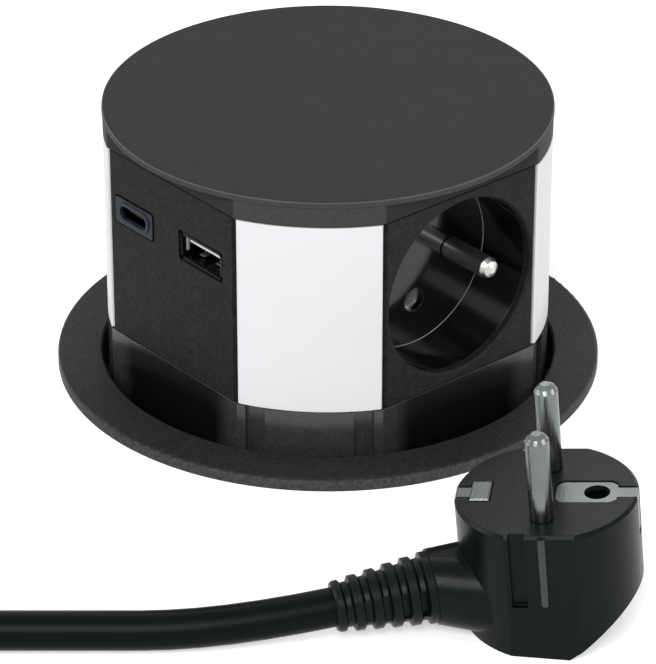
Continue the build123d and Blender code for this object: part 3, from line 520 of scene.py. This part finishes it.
@dataclass
class Studio:
    """Camera, lamps, white surround and the pale desk top around the socket."""

    azimuth: float = LAY_AZIMUTH
    elevation: float = 29.19
    distance: float = 884.3 * MM
    aim_height: float = 4.84 * MM
    lens: float = 214.7
    sensor: float = 36.0
    clip: tuple[float, float] = (0.02, 20.0)
    surround: float = 0.42
    lamps: tuple[Lamp, ...] = (
        Lamp("key", 38.0, 40.0, 1.5, 0.8, 14.0),
        Lamp("left", -40.0, 22.0, 1.4, 0.8, 6.0),
        Lamp("right", 118.0, 20.0, 1.4, 0.8, 4.5),
        Lamp("back", 215.0, 45.0, 1.5, 0.9, 4.0),
    )
    hole_radius: float = 53.6 * MM
    hole_steps: int = 128
    desk_radius: float = 480.0 * MM
    desk_edge: float = -200.0 * MM
    desk_thickness: float = 22.0 * MM
    desk_round: float = 3.0 * MM
    desk_sink: float = 0.02 * MM
    desk_tone: float = 0.85
    desk_roughness: float = 0.9
    desk_specular: float = 0.1
    desk_glow: float = 0.45
    level_normal: float = 0.999

    def camera(self) -> None:
        """Place the camera at the photograph's viewing angle."""
        bpy.context.scene.view_settings.view_transform = "Standard"
        data = bpy.data.cameras.new("camera")
        data.lens = self.lens
        data.sensor_width = self.sensor
        data.sensor_fit = "AUTO"
        data.clip_start, data.clip_end = self.clip
        made = linked("camera", data)
        target = Vector((0, 0, self.aim_height))
        made.location = target + self._toward(self.azimuth, self.elevation) * self.distance
        made.rotation_euler = (target - made.location).to_track_quat("-Z", "Y").to_euler()
        bpy.context.scene.camera = made

    def _toward(self, azimuth: float, elevation: float) -> Vector:
        """Give the unit vector towards an azimuth and elevation, in degrees."""
        a = math.radians(azimuth)
        e = math.radians(elevation)
        return Vector((math.sin(a) * math.cos(e), -math.cos(a) * math.cos(e), math.sin(e)))

    def _seen(self, tree: bpy.types.NodeTree) -> bpy.types.NodeSocket:
        """Tell the camera's, mirrored and transmitted rays from those that carry light.

        Args:
            tree: The node tree that gets the nodes.

        Returns:
            A value of 1 for the rays that show a surface, and 0 for the others.
        """
        rays = tree.nodes.new("ShaderNodeLightPath")
        total = rays.outputs["Is Camera Ray"]
        for kind in ("Is Glossy Ray", "Is Transmission Ray"):
            either = tree.nodes.new("ShaderNodeMath")
            either.operation = "MAXIMUM"
            tree.links.new(total, either.inputs[0])
            tree.links.new(rays.outputs[kind], either.inputs[1])
            total = either.outputs["Value"]
        return total

    def light(self) -> None:
        """Add soft lamps and the white surround."""
        for lamp in self.lamps:
            data = bpy.data.lights.new(lamp.name, "AREA")
            data.shape = "DISK"
            data.size = lamp.size
            data.energy = lamp.power
            hung = linked(lamp.name, data)
            hung.location = self._toward(lamp.azimuth, lamp.elevation) * lamp.away
            hung.rotation_euler = (-hung.location).to_track_quat("-Z", "Y").to_euler()
        world = bpy.data.worlds.new("white surround")
        bpy.context.scene.world = world
        world.use_nodes = True
        nodes = world.node_tree.nodes
        links = world.node_tree.links
        nodes.clear()
        ground = nodes.new("ShaderNodeBackground")
        ground.inputs["Color"].default_value = (1, 1, 1, 1)
        strength = nodes.new("ShaderNodeMapRange")
        strength.inputs["To Min"].default_value = self.surround
        strength.inputs["To Max"].default_value = 1.0
        links.new(self._seen(world.node_tree), strength.inputs["Value"])
        links.new(strength.outputs["Result"], ground.inputs["Strength"])
        output = nodes.new("ShaderNodeOutputWorld")
        links.new(ground.outputs["Background"], output.inputs["Surface"])

    def desk_material(self) -> bpy.types.Material:
        """Build the pale desk finish, white to the camera but for the object's shadow.

        Returns:
            The desk's material.
        """
        made = bpy.data.materials.new("pale desk")
        made.use_nodes = True
        nodes = made.node_tree.nodes
        links = made.node_tree.links
        shader = nodes["Principled BSDF"]
        shader.inputs["Base Color"].default_value = (self.desk_tone,) * 3 + (1,)
        shader.inputs["Roughness"].default_value = self.desk_roughness
        shader.inputs["Specular IOR Level"].default_value = self.desk_specular
        glow = nodes.new("ShaderNodeEmission")
        level = nodes.new("ShaderNodeMath")
        level.operation = "MULTIPLY"
        level.inputs[1].default_value = self.desk_glow
        links.new(self._seen(made.node_tree), level.inputs[0])
        links.new(level.outputs["Value"], glow.inputs["Strength"])
        both = nodes.new("ShaderNodeAddShader")
        links.new(shader.outputs["BSDF"], both.inputs[0])
        links.new(glow.outputs["Emission"], both.inputs[1])
        links.new(both.outputs["Shader"], nodes["Material Output"].inputs["Surface"])
        return made

    def _slab(self) -> bmesh.types.BMesh:
        """Make the slab: a disc with a round hole, cut off straight on the left.

        Returns:
            The slab, its upper face at zero.
        """
        form = bmesh.new()
        bmesh.ops.create_circle(form, segments=self.hole_steps, radius=self.hole_radius)
        wide = bmesh.ops.extrude_edge_only(form, edges=form.edges[:])
        rim = [v for v in wide["geom"] if isinstance(v, bmesh.types.BMVert)]
        bmesh.ops.scale(form, vec=(self.desk_radius / self.hole_radius,) * 2 + (1,), verts=rim)
        bmesh.ops.transform(form, matrix=LAY_TURN, verts=form.verts[:])
        left = LAY_TURN @ Vector((self.desk_edge, 0, 0))
        bmesh.ops.bisect_plane(
            form,
            geom=form.verts[:] + form.edges[:] + form.faces[:],
            plane_co=left,
            plane_no=LAY_TURN @ Vector((-1, 0, 0)),
            clear_outer=True,
        )
        bmesh.ops.recalc_face_normals(form, faces=form.faces[:])
        if form.faces[0].normal.z < 0:
            bmesh.ops.reverse_faces(form, faces=form.faces[:])
        thick = bmesh.ops.extrude_face_region(form, geom=form.faces[:])
        lower = [v for v in thick["geom"] if isinstance(v, bmesh.types.BMVert)]
        bmesh.ops.translate(form, vec=(0, 0, -self.desk_thickness), verts=lower)
        bmesh.ops.recalc_face_normals(form, faces=form.faces[:])
        return form

    def desk(self) -> None:
        """Make the desk top, its outer upper edge rounded and banded, just below the flange."""
        form = self._slab()
        far = 2 * self.hole_radius
        outer = [
            e
            for e in form.edges
            if all(v.co.z > -MM and v.co.xy.length > far for v in e.verts)
            and e.calc_face_angle(0.0) > SHARP_ANGLE
        ]
        bmesh.ops.bevel(
            form, geom=outer, offset=self.desk_round, segments=CORNER_STEPS, profile=0.5,
            affect="EDGES", material=-1,
        )
        for face in form.faces:
            banded = face.calc_center_median().xy.length > far
            face.material_index = int(banded and abs(face.normal.z) < self.level_normal)
        bmesh.ops.translate(form, vec=(0, 0, -self.desk_sink), verts=form.verts[:])
        mesh = bpy.data.meshes.new("desk_top")
        form.to_mesh(mesh)
        form.free()
        mesh.materials.append(self.desk_material())
        mesh.materials.append(DESK_BAND.material())
        linked("desk_top", mesh)
        LOG.info("made desk_top")


@dataclass
class MainsCord:
    """The black round cord, from its gland under the desk to the plug."""

    radius: float = 4.0 * MM
    length: float = 1.60
    coil_x: float = -132.0 * MM
    line_y: float = -119.302 * MM
    coil_radius: float = 52.6 * MM
    coil_step: float = 8.6 * MM
    coil_low: float = 5.1 * MM
    crossing: float = 0.5
    turns: int = 4
    points_a_turn: int = 16
    steps_round: int = 6
    steps_along: int = 6
    order: int = 3

    def route(self) -> list[Vector]:
        """Give the control points from the gland to the plug, along the solid tube.

        Returns:
            The points in the row frame, in metres.
        """
        y = self.line_y
        below = [
            (-0.0804, 0.0, -0.0785),
            (-0.104, 0.0, -0.0785),
            (-0.130, -0.008, -0.088),
            (-0.158, y + 0.0916, -0.100),
            (-0.188, y + 0.0696, -0.106),
            (-0.218, y + 0.0476, -0.100),
            (-0.240, y + 0.0276, -0.078),
            (-0.248, y + 0.0146, -0.045),
            (-0.236, y + 0.0076, -0.012),
            (-0.206, y + 0.0026, 0.007),
            (-0.168, y, 0.0137),
            (-0.144, y, 0.0137),
        ]
        above = [
            (-0.120, y, 0.0051),
            (-0.104, y, 0.0051),
            (-0.084, y, 0.0041),
            (-0.0525, y, 0.0041),
            (-0.021379, y, 0.0041),
            (0.001044, -0.114536, 0.006509),
        ]
        return [LAY_TURN @ Vector(p) for p in below + self._coil() + above]

    def _coil(self) -> list[tuple[float, float, float]]:
        """Give the tied coil's points.

        Returns:
            The points, from its upper layer's outer end to its lower layer's.
        """
        centre_y = self.line_y + self.coil_radius
        swell = 1.0 / math.cos(math.pi / self.points_a_turn)
        count = self.turns * self.points_a_turn
        points = []
        for k in range(count + 1):
            n = self.turns - k / self.points_a_turn
            reach = (self.coil_radius - self.coil_step * min(n, self.turns - n)) * swell
            share = (n - self.turns / 2 + self.crossing / 2) / self.crossing
            share = min(max(share, 0.0), 1.0)
            height = self.coil_low + self.coil_step * share * share * (3 - 2 * share)
            angle = 2 * math.pi * n
            x = self.coil_x - reach * math.sin(angle)
            points.append((x, centre_y - reach * math.cos(angle), height))
        return points

    def build(self, pieces: list[bpy.types.Object]) -> bpy.types.Object:
        """Args:
            pieces: What sits on the cord, such as its plug. It is not used.

        Returns:
            The cord's object.
        """
        data = bpy.data.curves.new("mains_cord", "CURVE")
        data.dimensions = "3D"
        data.bevel_depth = self.radius
        data.bevel_resolution = self.steps_round
        data.resolution_u = self.steps_along
        data.use_fill_caps = True
        spline = data.splines.new("NURBS")
        points = self.route()
        spline.points.add(len(points) - 1)
        for target, point in zip(spline.points, points):
            target.co = (*point, 1.0)
        spline.order_u = self.order
        spline.use_endpoint_u = True
        data.materials.append(CORD_BLACK.material())
        cord = linked("mains_cord", data)
        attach(cord, "housing")
        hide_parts("cord_to_plug", "cord_coil", "cord_under_desk")
        LOG.info("made mains_cord")
        return cord


@dataclass(frozen=True)
class PortShape:
    """A fine bar or frame in a port, in millimetres from the port's centre and its facet.

    Its front and back are below zero where they lie inside the facet. With a wall it is a frame.
    """

    width: float
    height: float
    corner: float
    front: float
    back: float
    across: float = 0.0
    up: float = 0.0
    wall: float = 0.0

    def _chamfer(self) -> float:
        """Return how much is taken off the edges, in millimetres."""
        if self.wall:
            return min(WIDEST_CHAMFER, self.wall * WALL_CHAMFER_SHARE)
        return self.corner * BAR_CHAMFER_SHARE

    def moved(self, across: float) -> "PortShape":
        """Return the same shape at another place along the facet."""
        return replace(self, across=across)

    def form(self) -> bmesh.types.BMesh:
        """Build the shape.

        Returns:
            The shape about the port's centre, its Z pointing out of the facet.
        """
        form = rounded_sheet(self.width * MM, self.height * MM, self.corner * MM)
        if self.wall:
            rim = form.faces[:]
            bmesh.ops.inset_region(
                form, faces=rim, thickness=self.wall * MM, use_boundary=True, use_even_offset=True
            )
            bmesh.ops.delete(form, geom=rim, context="FACES_ONLY")
        thickened(form, self.front * MM, self.back * MM, self._chamfer() * MM)
        bmesh.ops.translate(form, vec=(self.across * MM, self.up * MM, 0), verts=form.verts[:])
        return form


@dataclass
class UsbPorts:
    """The fine parts of both USB ports: frames, linings, tongues, contacts and leaf springs."""

    face_y: float = -43.76 * MM
    a_centre: tuple[float, float] = (10.1 * MM, 43.2 * MM)
    a_surround: PortShape = PortShape(14.8, 7.2, 0.6, -0.3, -1.0, wall=1.2)
    a_lining: PortShape = PortShape(13.0, 5.6, 0.4, -1.0, -12.2, wall=0.3)
    a_tongue: PortShape = PortShape(11.2, 1.15, 0.12, -1.7, -12.2, up=1.25)
    a_block: PortShape = PortShape(12.0, 4.6, 0.2, -9.6, -12.2)
    a_contact: PortShape = PortShape(1.1, 0.14, 0.05, -2.3, -9.6, up=0.62)
    a_contact_places: tuple[float, ...] = (-3.45, -1.15, 1.15, 3.45)
    # Strips of painted light on the wide port's side walls, just inside its mouth.
    a_lit_strip: PortShape = PortShape(0.14, 3.5, 0.04, -1.15, -1.95, up=0.3)
    a_lit_strip_places: tuple[float, ...] = (-6.1, 6.1)
    a_leaf: PortShape = PortShape(1.7, 0.2, 0.06, -2.6, -8.2)
    a_leaf_places: tuple[float, ...] = (-2.7, 2.7)
    leaf_drop: float = 2.05 * MM
    leaf_lean: float = 4.0
    c_centre: tuple[float, float] = (-12.6 * MM, 43.3 * MM)
    c_gap_shade: PortShape = PortShape(13.58, 6.88, 0.98, 0.18, -0.1, wall=0.44)
    c_contact: PortShape = PortShape(0.3, 0.1, 0.03, -1.7, -6.5, up=0.4)
    c_contact_places: tuple[float, ...] = (-2.375, -1.425, -0.475, 0.475, 1.425, 2.375)

    def _placed(
        self,
        name: str,
        form: bmesh.types.BMesh,
        centre: tuple[float, float],
        finish: Finish,
    ) -> bpy.types.Object:
        """Stand a shape up in the USB facet, its Z pointing out of the facet.

        Args:
            name: The piece's name.
            form: The shape, about the port's centre.
            centre: The port's place along the facet and its height.
            finish: The piece's finish.

        Returns:
            The new piece, riding on the carriage.
        """
        middle = Matrix.Translation((centre[0], self.face_y, centre[1]))
        stand = middle @ Matrix.Rotation(math.pi / 2, 4, "X")
        bmesh.ops.transform(form, matrix=stand, verts=form.verts[:])
        piece = mesh_piece(name, form, finish)
        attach(piece, "carriage")
        return piece

    def _row(
        self,
        name: str,
        shape: PortShape,
        places: tuple[float, ...],
        centre: tuple[float, float],
        finish: Finish,
    ) -> None:
        """Make a row of equal metal parts.

        Args:
            name: What the pieces' names begin with, before their numbers.
            shape: The shape of one.
            places: Where they stand along the facet, in millimetres from the port's centre.
            centre: The port's place along the facet and its height.
            finish: Their finish.
        """
        for number, across in enumerate(places, start=1):
            form = shape.moved(across).form()
            self._placed(f"{name}_{number}", form, centre, finish)

    def wide_port(self) -> None:
        """Build the wide port: black surround, lining in painted shade, pale tongue and its
        contacts.
        """
        at = self.a_centre
        self._placed("usb_a_surround", self.a_surround.form(), at, PORT_GLOSS)
        shell = self._placed("usb_a_lining", self.a_lining.form(), at, PORT_STEEL_PAINTED_SHADE)
        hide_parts("usb_a_shell")
        tongue = self.a_tongue.form()
        pale = self._placed("usb_a_tongue_board", tongue, at, TONGUE_PALE)
        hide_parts("usb_a_tongue")
        self._placed("usb_a_back_block", self.a_block.form(), at, PORT_BLACK)
        self._row("usb_a_contact", self.a_contact, self.a_contact_places, at, CONTACT_GOLD)
        drop = Matrix.Translation((0, -self.leaf_drop, 0))
        lean = drop @ Matrix.Rotation(math.radians(self.leaf_lean), 4, "X")
        # The side-wall strips are painted light over the painted-shade lining.
        pairs = zip(self.a_lit_strip_places, self.a_leaf_places)
        for number, (lit_strip_place, leaf_place) in enumerate(pairs, start=1):
            lit_strip = self.a_lit_strip.moved(lit_strip_place).form()
            self._placed(f"usb_a_lit_strip_{number}", lit_strip, at, PORT_NICKEL_PAINTED_LIGHT)
            leaf = self.a_leaf.moved(leaf_place).form()
            bmesh.ops.transform(leaf, matrix=lean, verts=leaf.verts[:])
            self._placed(f"usb_a_leaf_{number}", leaf, at, SPRING_WIRE)

    def slim_port(self) -> None:
        """Build the small port: painted shade in the gap round its bezel and its tongue's contacts.
        """
        at = self.c_centre
        self._placed("usb_c_gap_shade_ring", self.c_gap_shade.form(), at, GAP_PAINTED_SHADE)
        self._row("usb_c_contact", self.c_contact, self.c_contact_places, at, CONTACT_GOLD)

    def build(self) -> None:
        """Build both ports."""
        self.wide_port()
        self.slim_port()


@dataclass
class PaintedEdgeHighlights:
    """The fine pale lines along moulded edges, painted highlights: the wells' floor corners and the
    lid's rim.
    """

    well_radius: float = 19.9 * MM
    well_floor: float = 28.76 * MM
    well_height: float = 34.6 * MM
    well_wire: float = 0.1 * MM
    well_steps: int = 96
    well_turns: tuple[tuple[str, float], ...] = (("right", 0.0), ("rear", 90.0), ("left", 180.0))
    lid_radius: float = 48.8 * MM
    lid_height: float = 62.31 * MM
    lid_wire: float = 0.17 * MM
    lid_steps: int = 192
    wire_sides: int = 6

    def _ring(self, radius: float, wire: float, steps: int) -> bmesh.types.BMesh:
        """Spin a small round section into a closed ring about the Z axis.

        Args:
            radius: The ring's radius.
            wire: The section's radius.
            steps: How many steps the spin has.

        Returns:
            The ring, about the origin.
        """
        form = bmesh.new()
        section = bmesh.ops.create_circle(form, segments=self.wire_sides, radius=wire)
        stand = Matrix.Translation((radius, 0, 0)) @ Matrix.Rotation(math.pi / 2, 4, "X")
        bmesh.ops.transform(form, matrix=stand, verts=section["verts"])
        bmesh.ops.spin(
            form, geom=form.verts[:] + form.edges[:], cent=(0, 0, 0), axis=(0, 0, 1),
            angle=2 * math.pi, steps=steps, use_merge=True,
        )
        bmesh.ops.recalc_face_normals(form, faces=form.faces[:])
        return form

    def _laid(self, name: str, form: bmesh.types.BMesh, finish: Finish) -> None:
        """Make a ring a piece that rides on the carriage."""
        line = mesh_piece(name, form, finish)
        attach(line, "carriage")

    def build(self) -> None:
        """Build the wells' highlight lines and the lid's."""
        # Each well's floor corner gets a pale ring as a painted highlight.
        for side, turn in self.well_turns:
            form = self._ring(self.well_radius, self.well_wire, self.well_steps)
            place = (
                Matrix.Rotation(math.radians(turn), 4, "Z")
                @ Matrix.Translation((self.well_floor, 0, self.well_height))
                @ Matrix.Rotation(math.pi / 2, 4, "Y")
            )
            bmesh.ops.transform(form, matrix=place, verts=form.verts[:])
            self._laid(f"well_corner_painted_highlight_{side}", form, WELL_CORNER_HIGHLIGHT)
        # The lid's pale rim ring is a painted highlight.
        rim = self._ring(self.lid_radius, self.lid_wire, self.lid_steps)
        bmesh.ops.translate(rim, vec=(0, 0, self.lid_height), verts=rim.verts[:])
        self._laid("lid_rim_painted_highlight", rim, LID_EDGE_HIGHLIGHT)


@dataclass
class PlugGrip:
    """The smooth upright beads over the grip ribs on the plug's two flats, paler as a painted
    highlight.
    """

    place: tuple[float, float] = (45.5 * MM, -106.5 * MM)
    lean: float = -5.0
    turn: float = -8.0
    bead: tuple[float, float] = (0.4 * MM, 16.85 * MM)
    radius: float = 0.85 * MM
    sides: int = 20
    ease: float = 0.45 * MM
    low: float = 12.6 * MM
    high: float = 28.1 * MM

    def build(self) -> list[bpy.types.Object]:
        """Build both beads.

        Returns:
            The beads, which ride with the plug.
        """
        head = (
            LAY_TURN
            @ Matrix.Translation((*self.place, 0))
            @ Matrix.Rotation(math.radians(self.lean), 4, "Y")
            @ Matrix.Rotation(math.radians(self.turn), 4, "Z")
        )
        made = []
        for name, side in (("plug_grip_bead_front", -1), ("plug_grip_bead_rear", 1)):
            form = bmesh.new()
            bmesh.ops.create_circle(
                form, segments=self.sides, radius=self.radius, cap_ends=True
            )
            thickened(form, self.low, self.high, self.ease)
            spot = head @ Matrix.Translation((self.bead[0], side * self.bead[1], 0))
            bmesh.ops.transform(form, matrix=spot, verts=form.verts[:])
            piece = mesh_piece(name, form, PLUG_BEAD_HIGHLIGHT)
            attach(piece, "housing")
            made.append(piece)
        return made


@dataclass
class LiftGear:
    """The two lift springs and the coiled inner lead, which shorten as the carriage goes down; here
    they do not.
    """

    frame: dict
    joint: str = "carriage_lift"
    travel: float = 59.8 * MM
    weld: float = 0.002 * MM

    def _shortening(self, node: str, name: str, finish: Finish) -> None:
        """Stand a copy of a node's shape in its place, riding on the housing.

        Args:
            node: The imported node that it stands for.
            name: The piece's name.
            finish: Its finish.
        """
        form = bmesh.new()
        form.from_mesh(self.frame["nodes"][node].data)
        bmesh.ops.remove_doubles(form, verts=form.verts[:], dist=self.weld)
        piece = mesh_piece(name, form, finish)
        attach(piece, "housing")
        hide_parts(node)
        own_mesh(piece)

    def build(self) -> None:
        """Build the springs and the lead."""
        self._shortening("lift_spring_a", "lift_spring_wire_a", SPRING_WIRE)
        self._shortening("lift_spring_b", "lift_spring_wire_b", SPRING_WIRE)
        self._shortening("inner_lead", "inner_lead_coil", CORD_BLACK)


@dataclass
class Dressing:
    """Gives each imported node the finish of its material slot."""

    frame: dict

    def node(self, name: str) -> bpy.types.Object:
        """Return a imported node's object."""
        return self.frame["nodes"][name]

    def dress(self) -> None:
        """Assign every node's finish."""
        for entry in self.frame["record"]["subparts"]:
            finish = SLOT_FINISHES[entry["material_slot"]]
            if entry["node"].startswith("earth_pin"):
                finish = EARTH_NICKEL
            # The small port's steel shell gets the near-black steel: painted shade inside the port.
            if entry["node"] == "usb_c_shell":
                finish = PORT_STEEL_PAINTED_SHADE
            made = finish.material()
            piece = self.node(entry["node"])
            if not piece.material_slots:
                piece.data.materials.append(made)
            for target in piece.material_slots:
                target.material = made
            LOG.info("dressed %s", entry["node"])


def main() -> None:
    """Build the scene in order and report each piece."""
    logging.basicConfig(level=logging.WARNING)
    LOG.setLevel(logging.INFO)
    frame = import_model()
    studio = Studio()
    studio.camera()
    dressing = Dressing(frame)
    MainsCord().build([dressing.node(name) for name in ON_CORD] + PlugGrip().build())
    dressing.dress()
    LiftGear(frame).build()
    UsbPorts().build()
    PaintedEdgeHighlights().build()
    studio.light()
    studio.desk()


if __name__ == "__main__":
    main()
